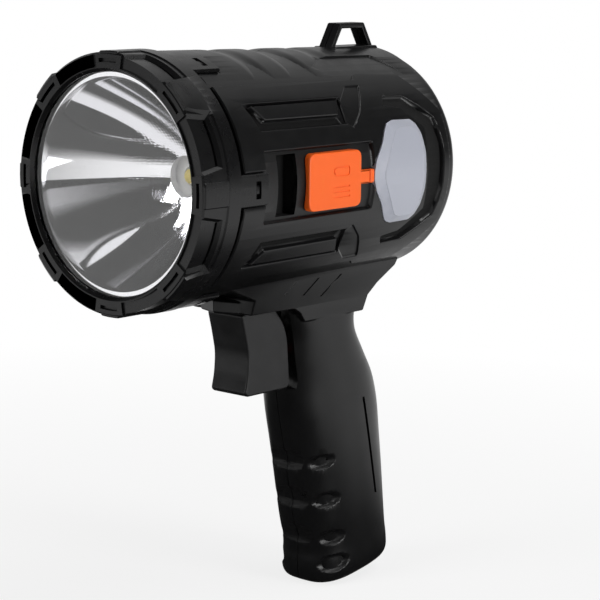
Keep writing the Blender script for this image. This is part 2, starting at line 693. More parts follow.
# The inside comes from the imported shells: what they hold within the middle of the wall is kept, and the fine
# outside takes the place of the rest
CORE_DEPTH = 0.0031
CORE_SPIGOT = 0.0407
core_front, core_rear = BODY_FRONT + WALL, BODY_REAR - WALL / 2
core = turned(
    [
        (0, SPIGOT_FRONT - OVER),
        (CORE_SPIGOT, SPIGOT_FRONT - OVER),
        (CORE_SPIGOT, core_front - 0.0010),
        (armour_radius(core_front) - CORE_DEPTH, core_front),
        (armour_radius(core_rear) - CORE_DEPTH, core_rear - REAR_CORNER),
        (armour_radius(core_rear) - CORE_DEPTH - REAR_CORNER, core_rear),
        (0, core_rear),
    ]
)
NECK_CORE = ((0.045, -0.6), (0.045, 0.90), (0.31, 0.90), (0.765, 0.90), (0.79, 0.80), (0.83, 0.44), (0.895, 0.02), (0.895, -0.6))
neck_core = slab([(NECK_START + a * NECK_LENGTH, GRIP_TOP - b * NECK_DROP) for a, b in NECK_CORE], -0.0138, 0.0138)
grip_core = loft([grip_ring(station, WALL / 2) for station in smooth_run(GRIP[:13], 5)])
fuse(core, neck_core, grip_core)
inside = []
for name in ("left_shell", "right_shell"):
    twin = copy_of(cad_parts[name])
    bm = bmesh.new()
    bm.from_mesh(twin.data)
    bmesh.ops.remove_doubles(bm, verts=bm.verts, dist=MERGE)
    bm.to_mesh(twin.data)
    bm.free()
    inside.append(keep(twin, copy_of(core)))
cut(housing, core)
fuse(housing, *inside)

# Recesses in the armour: the charging port's, then on both sides two rails with a bar left standing in each, the
# troughs behind them and the band round the plate's rear
RECESS_DEPTH = 0.0017
POCKET_FLOOR = 0.0372
cutters = [pocket(on_barrel(mirrored([(0.093, 16), (0.577, 16)])), RECESS_DEPTH)]
cutters.append(block((POCKET_FLOOR, 0.0385, -0.0109), (BODY_FRONT_RADIUS + OVER, 0.0488, 0.0109)))
cutters.append(block((POCKET_FLOOR, 0.0658, -0.0040), (BODY_FRONT_RADIUS + OVER, 0.0754, 0.0040)))
RAIL = ((0.074, 39.0), (0.105, 25.5), (0.490, 25.5), (0.500, 39.5))
RAIL_SLOT = ((0.077, 38.5), (0.107, 25.8), (0.478, 25.8), (0.462, 29.8), (0.135, 29.8), (0.100, 38.5))
BAR = ((0.103, 38.0), (0.138, 30.2), (0.462, 30.2), (0.490, 38.5))
TROUGH = ((0.512, 23.5), (0.566, 31.1), (0.625, 45.5), (0.560, 45.5), (0.505, 38.2), (0.470, 28.0))
BAND_OUTER = [(0.705, 38.6), (0.800, 38.0), (0.905, 25.5), (0.921, 12)]
BAND_INNER = [(0.685, 33.8), (0.758, 32.0), (0.846, 20.5), (0.840, 9)]
RAIL_DEPTH = 0.0016
SLOT_DEPTH = 0.0026
BAND_DEPTH = 0.0020
bars = []
for side in (1, -1):
    for turn in (list, below):
        cutters.append(pocket(on_barrel(turn(RAIL)), RAIL_DEPTH, side))
        cutters.append(pocket(on_barrel(turn(RAIL_SLOT)), SLOT_DEPTH, side, corner=0.0003, draft=0.0001))
        cutters.append(pocket(on_barrel(turn(TROUGH)), 0.0006, side))
        bars.append(pad_on(on_barrel(turn(BAR)), RAIL_DEPTH + 0.0004, 0, side, chamfer=0.0005))
    band = mirrored(BAND_OUTER) + mirrored(BAND_INNER)[::-1]
    cutters.append(pocket(on_barrel(band), BAND_DEPTH, side, corner=0.0004))
cut(housing, *cutters)
fuse(housing, *bars)

# Places for the bezel's tabs, each with a catch, then the grooves on the neck's sides
TAB_INNER = armour_radius(BODY_FRONT) - RELIEF + GAP
TAB_THICKNESS = 0.0014
TAB_HALF = 7.0
TAB_REAR = 0.0312
TAB_SLOT_HALF = 3.8
CATCH_HALF = 2.0
TAB_SLOT = (0.0244, 0.0270)


def tab_face(y):
    return TAB_INNER


def sector(middle, half, front, rear):
    """A rectangle on the barrel, from its degrees round it and its ends along it."""
    low, high = radians(middle - half) * WRAP, radians(middle + half) * WRAP
    return [(front, low), (rear, low), (rear, high), (front, high)]


TAB_LEAN = 7.0  # how far the upper and lower tabs stand from even spacing, towards the top and the bottom
tab_angles = [0, 60 + TAB_LEAN, 120 - TAB_LEAN, 180, 240 + TAB_LEAN, 300 - TAB_LEAN]
places = []
catches = []
for angle in tab_angles:
    place = sector(angle, TAB_HALF + 0.6, BODY_FRONT - OVER, TAB_REAR + GAP)
    places.append(relief(place, [(0, -GAP), (0, OVER)], radius_at=tab_face))
    catch = sector(angle, CATCH_HALF, TAB_SLOT[0] + 0.0003, TAB_SLOT[1] - 0.0003)
    catches.append(relief(catch, [(0, -RELIEF), (0, 0.0007), (-0.0004, 0.0010)], radius_at=tab_face))
cut(housing, *places)
fuse(housing, *catches)
GROOVES = (((0.250, 0.07), (0.200, 0.48)), ((0.398, 0.07), (0.328, 0.61)), ((0.550, 0.07), (0.452, 0.75)))
GROOVE_WIDTH = 0.0011
cutters = []
for side in (1, -1):
    for groove in GROOVES:
        rings = []
        for a, b in groove:
            y, z = NECK_START + a * NECK_LENGTH, GRIP_TOP - b * NECK_DROP
            inner, outer = side * (neck_half(z) - GROOVE_WIDTH), side * (neck_half(z) + OVER)
            low, high = y - GROOVE_WIDTH / 2, y + GROOVE_WIDTH / 2
            rings.append([(inner, low, z), (outer, low, z), (outer, high, z), (inner, high, z)])
        cutters.append(loft(rings))

# Counterbores of the housing screws, the trigger's slot, the side lamp's window and the flap's peg hole
SCREWS = ((0.0319, 0.034), (0.1038, 0.034), (0.0381, -0.033), (0.128, -0.033), (0.1170, -0.0640), (0.1120, -0.1580))
SCREW_SEAT = 0.0080
COUNTERBORE = 0.0031
for y, z in SCREWS:
    cutters.append(rod((-BODY_FRONT_RADIUS - OVER, y, z), (-SCREW_SEAT, y, z), COUNTERBORE, 32))
TRIGGER_WIDTH = 0.0180
TRIGGER_PLAY = 0.0006
TRIGGER_SLOT = (0.0591, 0.08925)
SLOT_HALF = TRIGGER_WIDTH / 2 + TRIGGER_PLAY
cutters.append(block((-SLOT_HALF, TRIGGER_SLOT[0], -0.0855), (SLOT_HALF, TRIGGER_SLOT[1], NECK_BOTTOM + WALL)))
LAMP = (
    (0.573, 2.0),
    (0.586, 7.5),
    (0.620, 14.0),
    (0.645, 20.5),
    (0.665, 24.2),
    (0.692, 25.4),
    (0.780, 25.2),
    (0.803, 22.5),
    (0.818, 17.5),
    (0.826, 9.0),
)
lamp_outline = on_barrel(mirrored(list(LAMP)))
bore_depth = RELIEF + WALL
cutters.append(relief(grown(lamp_outline, GAP), [(0, OVER), (0, -bore_depth - OVER)]))
PEG_MIDDLE = 0.08935
PEG_RADIUS = 0.0010
cutters.append(rod((POCKET_FLOOR + 0.0045, PEG_MIDDLE, 0), (BODY_FRONT_RADIUS, PEG_MIDDLE, 0), PEG_RADIUS, 24))
cut(housing, *cutters)
far = BODY_REAR * 3
other_half = copy_of(housing)
left_housing = keep(housing, block((GAP / 2, -far, -far), (far, far, far)))
right_housing = keep(other_half, block((-far, -far, -far), (-GAP / 2, far, far)))


def settle(piece, name, body, finish):
    """Names a finished piece, smooths its shading up to its creases, and gives it its finish and its body."""
    bm = bmesh.new()
    bm.from_mesh(piece.data)
    bmesh.ops.remove_doubles(bm, verts=bm.verts, dist=MERGE)
    bm.to_mesh(piece.data)
    bm.free()
    piece.name = piece.data.name = name
    piece.data.polygons.foreach_set("use_smooth", [True] * len(piece.data.polygons))
    piece.data.set_sharp_from_angle(angle=CREASE)
    normals = piece.modifiers.new("normals", "WEIGHTED_NORMAL")
    normals.keep_sharp = True
    piece.data.materials.clear()
    piece.data.materials.append(finish)
    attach(piece, body)
    return piece


def group_input(group, name, kind, value):
    socket = group.interface.new_socket(name=name, in_out="INPUT", socket_type=kind)
    socket.default_value = value


# Moulded skin: fine grain, slow unevenness of the surface, and a little change of gloss and colour
skin = bpy.data.node_groups.new("moulded_skin", "ShaderNodeTree")
group_input(skin, "Colour", "NodeSocketColor", (0.02, 0.02, 0.02, 1))
group_input(skin, "Dust Colour", "NodeSocketColor", (0.10, 0.10, 0.10, 1))
group_input(skin, "Gloss Low", "NodeSocketFloat", 0.3)
group_input(skin, "Gloss High", "NodeSocketFloat", 0.4)
group_input(skin, "Grain Size", "NodeSocketFloat", 2500.0)
group_input(skin, "Swell", "NodeSocketFloat", 0.5)
for name, kind in (("Colour", "NodeSocketColor"), ("Roughness", "NodeSocketFloat"), ("Height", "NodeSocketFloat")):
    skin.interface.new_socket(name=name, in_out="OUTPUT", socket_type=kind)
given = skin.nodes.new("NodeGroupInput")
put = skin.nodes.new("NodeGroupOutput")
spot = skin.nodes.new("ShaderNodeTexCoord")
grain = skin.nodes.new("ShaderNodeTexNoise")
grain.inputs["Detail"].default_value = 3
slow = skin.nodes.new("ShaderNodeTexNoise")
slow.inputs["Scale"].default_value = 35
slow.inputs["Detail"].default_value = 2
patchy = skin.nodes.new("ShaderNodeTexNoise")
patchy.inputs["Scale"].default_value = 160
patchy.inputs["Detail"].default_value = 6
specks = skin.nodes.new("ShaderNodeMapRange")
specks.inputs["From Min"].default_value = 0.60
specks.inputs["From Max"].default_value = 0.80
gloss = skin.nodes.new("ShaderNodeMapRange")
gloss.inputs["From Min"].default_value = 0.35
gloss.inputs["From Max"].default_value = 0.65
tint = skin.nodes.new("ShaderNodeMix")
tint.data_type = "RGBA"
swell = skin.nodes.new("ShaderNodeMath")
swell.operation = "MULTIPLY_ADD"
for noise in (grain, slow, patchy):
    skin.links.new(spot.outputs["Object"], noise.inputs["Vector"])
skin.links.new(given.outputs["Grain Size"], grain.inputs["Scale"])
skin.links.new(patchy.outputs["Fac"], specks.inputs["Value"])
skin.links.new(patchy.outputs["Fac"], gloss.inputs["Value"])
skin.links.new(given.outputs["Gloss Low"], gloss.inputs["To Min"])
skin.links.new(given.outputs["Gloss High"], gloss.inputs["To Max"])
skin.links.new(specks.outputs[0], tint.inputs["Factor"])
skin.links.new(given.outputs["Colour"], tint.inputs["A"])
skin.links.new(given.outputs["Dust Colour"], tint.inputs["B"])
skin.links.new(slow.outputs["Fac"], swell.inputs[0])
skin.links.new(given.outputs["Swell"], swell.inputs[1])
skin.links.new(grain.outputs["Fac"], swell.inputs[2])
skin.links.new(tint.outputs["Result"], put.inputs["Colour"])
skin.links.new(gloss.outputs[0], put.inputs["Roughness"])
skin.links.new(swell.outputs[0], put.inputs["Height"])


def moulded(name, colour, dust, gloss_low, gloss_high, grain_size, depth, swell=0.5, **constants):
    """A plastic or rubber finish: the moulded skin over one colour, with constants for the shader's own sockets."""
    made, out = plain_nodes(name)
    tree = made.node_tree
    shader = tree.nodes.new("ShaderNodeBsdfPrincipled")
    surface = tree.nodes.new("ShaderNodeGroup")
    surface.node_tree = skin
    surface.inputs["Colour"].default_value = (*colour, 1)
    surface.inputs["Dust Colour"].default_value = (*dust, 1)
    surface.inputs["Gloss Low"].default_value = gloss_low
    surface.inputs["Gloss High"].default_value = gloss_high
    surface.inputs["Grain Size"].default_value = grain_size
    surface.inputs["Swell"].default_value = swell
    bump = tree.nodes.new("ShaderNodeBump")
    bump.inputs["Distance"].default_value = depth
    tree.links.new(surface.outputs["Colour"], shader.inputs["Base Color"])
    tree.links.new(surface.outputs["Roughness"], shader.inputs["Roughness"])
    tree.links.new(surface.outputs["Height"], bump.inputs["Height"])
    tree.links.new(bump.outputs["Normal"], shader.inputs["Normal"])
    tree.links.new(shader.outputs[0], out.inputs["Surface"])
    for socket, value in constants.items():
        shader.inputs[socket.replace("_", " ")].default_value = value
    return made


black_abs = moulded(
    "black_abs", (0.005, 0.005, 0.0053), (0.006, 0.006, 0.006), 0.29, 0.34, 2600, 0.000012, Specular_IOR_Level=0.35
)
# The mould's polish doesn't reach the floors of the barrel's slots and pockets, which stay dead black
abs_tree = black_abs.node_tree
abs_shader = next(node for node in abs_tree.nodes if node.type == "BSDF_PRINCIPLED")
abs_surface = next(node for node in abs_tree.nodes if node.type == "GROUP")
abs_spot = abs_tree.nodes.new("ShaderNodeTexCoord")
across_beam = abs_tree.nodes.new("ShaderNodeVectorMath")
across_beam.operation = "MULTIPLY"
across_beam.inputs[1].default_value = (1, 0, 1)
from_beam = abs_tree.nodes.new("ShaderNodeVectorMath")
from_beam.operation = "LENGTH"
place_along = abs_tree.nodes.new("ShaderNodeSeparateXYZ")
untapered = abs_tree.nodes.new("ShaderNodeMath")
untapered.operation = "MULTIPLY_ADD"
untapered.inputs[1].default_value = BODY_TAPER / BODY_LENGTH
polish = abs_tree.nodes.new("ShaderNodeMapRange")
polish.inputs["From Min"].default_value = BODY_FRONT_RADIUS - RECESS_DEPTH - CHAMFER / 4
polish.inputs["From Max"].default_value = BODY_FRONT_RADIUS - RELIEF - CHAMFER / 2
sheen = abs_tree.nodes.new("ShaderNodeMix")
sheen.inputs["A"].default_value = 0.9
depth_tint = abs_tree.nodes.new("ShaderNodeMix")
depth_tint.data_type = "RGBA"
depth_tint.inputs["A"].default_value = (0.001, 0.001, 0.001, 1)
abs_tree.links.new(abs_spot.outputs["Object"], across_beam.inputs[0])
abs_tree.links.new(across_beam.outputs[0], from_beam.inputs[0])
abs_tree.links.new(abs_spot.outputs["Object"], place_along.inputs[0])
abs_tree.links.new(place_along.outputs["Y"], untapered.inputs[0])
abs_tree.links.new(from_beam.outputs["Value"], untapered.inputs[2])
abs_tree.links.new(untapered.outputs[0], polish.inputs["Value"])
abs_tree.links.new(polish.outputs[0], sheen.inputs["Factor"])
abs_tree.links.new(abs_surface.outputs["Roughness"], sheen.inputs["B"])
abs_tree.links.new(sheen.outputs["Result"], abs_shader.inputs["Roughness"])
abs_tree.links.new(polish.outputs[0], depth_tint.inputs["Factor"])
abs_tree.links.new(abs_surface.outputs["Colour"], depth_tint.inputs["B"])
abs_tree.links.new(depth_tint.outputs["Result"], abs_shader.inputs["Base Color"])
for half, name, node in ((left_housing, "left_housing", "left_shell"), (right_housing, "right_housing", "right_shell")):
    settle(half, name, "housing", black_abs)
    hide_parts(node)


# Bezel: a ring moulded in black ABS that snaps over the spigot by six tabs. Its lip holds the lens. Eight sunken pads
# leave four lugs and four corner blocks standing between them, each with a thin slot in its front.
BEZEL_FRONT = -0.0015
BEZEL_REAR = 0.0170
BEZEL_RADIUS = 0.0464
REAR_RING_RADIUS = 0.0469
REAR_RING_START = 0.0103
OPENING_RADIUS = 0.0397
LIP_RADIUS = 0.0408
LIP_LAND = 0.0005
LENS_STEP = 0.0004
LENS_POCKET = 0.0426
SPIGOT_BORE = 0.0440
LIP_CHAMFER = 0.0007
bezel = turned(
    [
        (OPENING_RADIUS, LENS_STEP - GAP - LIP_LAND),
        (LIP_RADIUS, BEZEL_FRONT),
        (BEZEL_RADIUS - LIP_CHAMFER, BEZEL_FRONT),
        (BEZEL_RADIUS, BEZEL_FRONT + LIP_CHAMFER),
        (BEZEL_RADIUS, REAR_RING_START),
        (REAR_RING_RADIUS, REAR_RING_START + REAR_RING_RADIUS - BEZEL_RADIUS),
        (REAR_RING_RADIUS, BEZEL_REAR - LIP_CHAMFER / 2),
        (REAR_RING_RADIUS - LIP_CHAMFER / 2, BEZEL_REAR),
        (SPIGOT_BORE, BEZEL_REAR),
        (SPIGOT_BORE, SPIGOT_FRONT - GAP),
        (LENS_POCKET, SPIGOT_FRONT - GAP),
        (LENS_POCKET, LENS_STEP - GAP),
        (OPENING_RADIUS, LENS_STEP - GAP),
    ]
)
PAD_DEPTH = 0.0012
PAD_FRONT = (8.7, 35.6)  # degrees from a lug's middle
PAD_BACK = (12.2, 33.1)
PAD_END = 0.0074
PAD_SLOT_WIDTH = 0.0012
PAD_SLOT_FLOOR = 0.0444
FACE_STEP = 0.0008
FACE_INNER = 0.0412
LUG_HALF = 5.6
LUG_HEIGHT = 0.0005
BLOCK_FRONT_HALF = 7.4
BLOCK_REAR_HALF = 10.4
BLOCK_HEIGHT = 0.0012
BLOCK_END = 0.0120
PAD_ROOT = 0.0010
FACE_SLOT = (0.0429, 0.0443)
FACE_SLOT_DEPTH = 0.0012


def bezel_face(y):
    return BEZEL_RADIUS


def ring_sector(middle, half, radii, front, rear):
    """A cutter for a stretch of the ring, between two radii."""
    inner, outer = (radius - BEZEL_RADIUS for radius in radii)
    return relief(sector(middle, half, front, rear), [(0, inner), (0, outer)], radius_at=bezel_face)


def bezel_form(middle, places):
    """A piece of the bezel's outside, from (y, degrees from its middle) places."""
    return [(y, radians(middle + angle) * WRAP) for y, angle in places]


outside = BEZEL_RADIUS + OVER
before_face = BEZEL_FRONT - OVER
raised = []
lowered = []
for lug_angle in (0, 90, 180, 270):
    lug = sector(lug_angle, LUG_HALF, BEZEL_FRONT + GAP, REAR_RING_START + LIP_CHAMFER)
    raised.append(pad_on(lug, PAD_ROOT, LUG_HEIGHT, radius_at=bezel_face))
    half, wide = BLOCK_FRONT_HALF, BLOCK_REAR_HALF
    front = BEZEL_FRONT + GAP
    block_foot = ((front, -half), (PAD_END, -wide), (BLOCK_END, -wide), (BLOCK_END, wide), (PAD_END, wide), (front, half))
    block_top = grown(bezel_form(lug_angle + 45, block_foot), -BLOCK_HEIGHT / 2)
    block_top = [(min(y, BLOCK_END - 2 * BLOCK_HEIGHT), s) for y, s in block_top]
    levels = [(0, -PAD_ROOT), (0, GAP), (block_top, BLOCK_HEIGHT)]
    raised.append(relief(bezel_form(lug_angle + 45, block_foot), levels, radius_at=bezel_face))
    for middle, half in ((lug_angle, LUG_HALF), (lug_angle + 45, BLOCK_FRONT_HALF - 1)):
        lowered.append(ring_sector(middle, half, FACE_SLOT, before_face, BEZEL_FRONT + FACE_SLOT_DEPTH))
    for way in (1, -1):
        corners = [(before_face - OVER, PAD_FRONT[0]), (PAD_END, PAD_BACK[0]), (PAD_END, PAD_BACK[1])]
        corners.append((before_face - OVER, PAD_FRONT[1]))
        pad = bezel_form(lug_angle, [(y, way * angle) for y, angle in corners])
        lowered.append(relief(pad, [(PAD_DEPTH + OVER, OVER), (0, -PAD_DEPTH)], radius_at=bezel_face))
        middle, half = way * sum(PAD_BACK) / 2, (PAD_BACK[1] - PAD_BACK[0]) / 2
        slot_radii = (PAD_SLOT_FLOOR, outside)
        lowered.append(ring_sector(lug_angle + middle, half, slot_radii, PAD_END - PAD_SLOT_WIDTH, PAD_END))
        middle, half = way * sum(PAD_FRONT) / 2, (PAD_FRONT[1] - PAD_FRONT[0]) / 2
        face_radii = (FACE_INNER, outside)
        lowered.append(ring_sector(lug_angle + middle, half, face_radii, before_face, BEZEL_FRONT + FACE_STEP))
fuse(bezel, *raised)
cut(bezel, *lowered)
tabs = []
slots = []
for angle in tab_angles:
    tab = rounded(sector(angle, TAB_HALF, REAR_RING_START + LIP_CHAMFER, TAB_REAR), 0.0008)
    levels = [(0, 0), (0, TAB_THICKNESS - CHAMFER), (-CHAMFER, TAB_THICKNESS)]
    tabs.append(relief(tab, levels, radius_at=tab_face))
    slots.append(relief(sector(angle, TAB_SLOT_HALF, *TAB_SLOT), [(0, -OVER), (0, OVER)], radius_at=tab_face))
fuse(bezel, *tabs)
cut(bezel, *slots)
bezel_abs = moulded(
    "bezel_abs", (0.005, 0.005, 0.0053), (0.006, 0.006, 0.006), 0.26, 0.31, 2600, 0.000012, Specular_IOR_Level=0.35
)
settle(bezel, "bezel_ring", "housing", bezel_abs)
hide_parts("bezel")


# Front lens: a clear moulded disc under the bezel's lip, and the rubber ring behind it
LENS_RADIUS = 0.0422
LENS_THICKNESS = 0.0020
LENS_ROUND = 0.0002
clear_disc = turned(
    [
        (0, LENS_STEP),
        (LENS_RADIUS - LENS_ROUND, LENS_STEP),
        (LENS_RADIUS, LENS_STEP + LENS_ROUND),
        (LENS_RADIUS, LENS_THICKNESS - LENS_ROUND),
        (LENS_RADIUS - LENS_ROUND, LENS_THICKNESS),
        (0, LENS_THICKNESS),
    ]
)
clear_lens, clear_out = plain_nodes("clear_lens")
pane = clear_lens.node_tree.nodes.new("ShaderNodeBsdfPrincipled")
pane.inputs["Base Color"].default_value = (1, 1, 1, 1)
pane.inputs["Roughness"].default_value = 0.0
pane.inputs["IOR"].default_value = 1.49
pane.inputs["Transmission Weight"].default_value = 1.0
clear_lens.node_tree.links.new(pane.outputs[0], clear_out.inputs["Surface"])
settle(clear_disc, "clear_disc", "housing", clear_lens)
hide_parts("front_lens")
SEAL_FRONT = 0.0023
SEAL_REAR = 0.0040
SEAL_WIDTH = 0.0022
seal_inner = LENS_RADIUS - SEAL_WIDTH
seal_round = 0.0004
seal = turned(
    [
        (seal_inner + seal_round, SEAL_FRONT),
        (LENS_RADIUS - seal_round, SEAL_FRONT),
        (LENS_RADIUS, SEAL_FRONT + seal_round),
        (LENS_RADIUS, SEAL_REAR - seal_round),
        (LENS_RADIUS - seal_round, SEAL_REAR),
        (seal_inner + seal_round, SEAL_REAR),
        (seal_inner, SEAL_REAR - seal_round),
        (seal_inner, SEAL_FRONT + seal_round),
    ]
)
seal_rubber = moulded("seal_rubber", (0.022, 0.022, 0.022), (0.035, 0.035, 0.035), 0.55, 0.7, 3000, 0.00001)
settle(seal, "rubber_seal", "housing", seal_rubber)
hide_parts("lens_seal")


# Reflector: a deep bowl moulded in plastic and coated with bright metal in a vacuum. Its rim sits inside the seal, a
# flange is clamped behind it, and two posts at the back take the heat sink's screws.
BOWL_DEPTH = 0.0372
REFLECTOR_WALL = 0.0018
THROAT_RADIUS = 0.0077
COLLAR_LENGTH = 0.0031
RIM_OUTER = seal_inner - GAP
MOUTH_RADIUS = RIM_OUTER - 0.0021
FLANGE_FRONT = 0.0043
FLANGE_REAR = 0.0058
BOWL_STEPS = 64
focal = MOUTH_RADIUS**2 / (4 * BOWL_DEPTH)
vertex = SEAL_FRONT + BOWL_DEPTH
throat_front = vertex - THROAT_RADIUS**2 / (4 * focal)
collar_rear = throat_front + COLLAR_LENGTH
collar_radius = THROAT_RADIUS + REFLECTOR_WALL
bowl = []
bowl_back = []
middle_wall = []
for i in range(BOWL_STEPS + 1):
    radius = MOUTH_RADIUS + (THROAT_RADIUS - MOUTH_RADIUS) * i / BOWL_STEPS
    depth = vertex - radius**2 / (4 * focal)
    slope = radius / (2 * focal)
    lean = hypot(1, slope)
    bowl.append((radius, depth))
    bowl_back.append((radius + REFLECTOR_WALL * slope / lean, depth + REFLECTOR_WALL / lean))
    middle_wall.append((radius + REFLECTOR_WALL / 2 * slope / lean, depth + REFLECTOR_WALL / 2 / lean))
bowl_back = [(r, y) for r, y in bowl_back if y > FLANGE_REAR + REFLECTOR_WALL and r > collar_radius + REFLECTOR_WALL]
reflector = turned(
    [(RIM_OUTER - 0.0003, SEAL_FRONT), (MOUTH_RADIUS + 0.0003, SEAL_FRONT)]
    + bowl[1:]
    + [(THROAT_RADIUS, collar_rear), (collar_radius, collar_rear), (collar_radius, throat_front)]
    + bowl_back[::-1]
    + [(bowl_back[0][0] + REFLECTOR_WALL, FLANGE_REAR), (LENS_RADIUS, FLANGE_REAR), (LENS_RADIUS, FLANGE_FRONT)]
    + [(RIM_OUTER, FLANGE_FRONT), (RIM_OUTER, SEAL_FRONT + 0.0003)],
    256,
)
POST_SPACING = 0.0132
POST_RADIUS = 0.0026
POST_END = 0.0446
SCREW_TIP = 0.0390
PILOT = 0.0013
post_front = vertex - POST_SPACING**2 / (4 * focal)
bowl_space = [(0, SEAL_FRONT), *middle_wall, (0, middle_wall[-1][1])]
for z in (POST_SPACING, -POST_SPACING):
    post = cut(rod((0, post_front, z), (0, POST_END, z), POST_RADIUS, 32), turned(bowl_space, 96))
    fuse(reflector, post)
for z in (POST_SPACING, -POST_SPACING):
    cut(reflector, rod((0, SCREW_TIP, z), (0, POST_END + OVER, z), PILOT, 24))
bright_metal, bright_out = plain_nodes("vapour_metal")
coat_tree = bright_metal.node_tree
mirror = coat_tree.nodes.new("ShaderNodeBsdfPrincipled")
mirror.inputs["Base Color"].default_value = (0.90, 0.90, 0.92, 1)
mirror.inputs["Metallic"].default_value = 1.0
haze_spot = coat_tree.nodes.new("ShaderNodeTexCoord")
haze = coat_tree.nodes.new("ShaderNodeTexNoise")
haze.inputs["Scale"].default_value = 90
haze.inputs["Detail"].default_value = 4
haze_range = coat_tree.nodes.new("ShaderNodeMapRange")
haze_range.inputs["To Min"].default_value = 0.02
haze_range.inputs["To Max"].default_value = 0.07
coat_tree.links.new(haze_spot.outputs["Object"], haze.inputs["Vector"])
coat_tree.links.new(haze.outputs["Fac"], haze_range.inputs["Value"])
coat_tree.links.new(haze_range.outputs[0], mirror.inputs["Roughness"])
DIMPLE_REACH = 0.024  # the bowl is dimpled out to this radius
from_axis = coat_tree.nodes.new("ShaderNodeVectorMath")
from_axis.operation = "MULTIPLY"
from_axis.inputs[1].default_value = (1, 0, 1)
axis_distance = coat_tree.nodes.new("ShaderNodeVectorMath")
axis_distance.operation = "LENGTH"
dimpled = coat_tree.nodes.new("ShaderNodeMapRange")
dimpled.inputs["From Min"].default_value = DIMPLE_REACH
dimpled.inputs["From Max"].default_value = DIMPLE_REACH * 0.75
dimpled.inputs["To Max"].default_value = 0.15
dimples = coat_tree.nodes.new("ShaderNodeTexVoronoi")
dimples.inputs["Scale"].default_value = 900
dimples.inputs["Randomness"].default_value = 0.25
dented = coat_tree.nodes.new("ShaderNodeBump")
dented.inputs["Distance"].default_value = 0.0002
coat_tree.links.new(haze_spot.outputs["Object"], from_axis.inputs[0])
coat_tree.links.new(from_axis.outputs[0], axis_distance.inputs[0])
coat_tree.links.new(axis_distance.outputs["Value"], dimpled.inputs["Value"])
coat_tree.links.new(haze_spot.outputs["Object"], dimples.inputs["Vector"])
coat_tree.links.new(dimples.outputs["Distance"], dented.inputs["Height"])
coat_tree.links.new(dimpled.outputs[0], dented.inputs["Strength"])
coat_tree.links.new(dented.outputs[0], mirror.inputs["Normal"])
coat_tree.links.new(mirror.outputs[0], bright_out.inputs["Surface"])
settle(reflector, "mirror_bowl", "housing", bright_metal)
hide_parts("reflector")


# Flap over the charging socket: soft orange rubber, a plate with a raised border, a tether that bends, a plug behind
# it, and an anchor whose peg is pressed into the recess
FLAP = (0.272, 0.506)
FLAP_HALF = 0.0104
FLAP_CORNER = 0.0034
FLAP_THICKNESS = 0.0017
TETHER_HALF = 0.0026
TETHER_END = 0.0877
ANCHOR_LENGTH = 0.0024
flap_inner = GAP - RECESS_DEPTH
flap_outer = flap_inner + FLAP_THICKNESS
flap_start, flap_end = (along(share) for share in FLAP)
tether_end = TETHER_END


def plate_between(front, rear, half):
    """A rectangle on the barrel over the port, from its ends and half its height."""
    s = half * WRAP / armour_radius(front)
    return [(front, -s), (rear, -s), (rear, s), (front, s)]


def rubber_plate(outline, corner):
    edge = 0.0006
    levels = [(-edge / 2, flap_inner), (0, flap_inner + edge / 2), (0, flap_outer - edge)]
    levels += [(-edge * 0.3, flap_outer - edge * 0.3), (-edge, flap_outer)]
    return relief(rounded(outline, corner, 6), levels)


FLAP_EDGE = 0.0007
flap_face = armour_radius(flap_start) + flap_outer
flap_corners = [(flap_start, -FLAP_HALF), (flap_end, -FLAP_HALF), (flap_end, FLAP_HALF), (flap_start, FLAP_HALF)]
flap_plan = rounded(flap_corners, FLAP_CORNER, 6)
flap_levels = ((0.0040, 0), (FLAP_EDGE, 0), (FLAP_EDGE * 0.3, FLAP_EDGE * 0.3), (0, FLAP_EDGE))
flap = loft([[(flap_face - down, y, z) for y, z in grown(flap_plan, -inward)] for down, inward in flap_levels])
flap_bed = [(armour_radius(y) + flap_inner, y) for y in (flap_start - OVER, flap_end + OVER)]
cut(flap, turned([(0, flap_bed[0][1]), *flap_bed, (0, flap_bed[1][1])]))
tether = rubber_plate(plate_between(flap_end - FLAP_CORNER, tether_end, TETHER_HALF), 0.0003)
PLUG_TIP = 0.0395
PLUG_FRONT = 0.0670
PLUG_REAR = 0.0750
PLUG_HALF = 0.0036
plug = block((PLUG_TIP, PLUG_FRONT, -PLUG_HALF), (armour_radius(PLUG_REAR) + flap_inner + 0.0006, PLUG_REAR, PLUG_HALF), 0.0006)
fuse(flap, tether, plug)
MARK_DEPTH = 0.0003
MARK_LINE = 0.0006
MARK = ((0.0665, 0.0755), (0.0014, 0.0050))  # a plain outline of a socket, from its ends and its lower and upper edge
RIBS = (-0.0024, -0.0042, -0.0060)


def sunk_mark(inset, low, high, corner):
    """A cutter for the flap's face: a rectangle between two heights, drawn in by an inset."""
    (front, rear), face = MARK[0], flap_face - MARK_DEPTH
    corners = [(front, low), (rear, low), (rear, high), (front, high)]
    plan = grown(rounded(corners, corner, 4), -inset)
    return loft([[(x, y, z) for y, z in plan] for x in (face - inset, flap_face + OVER + inset)])


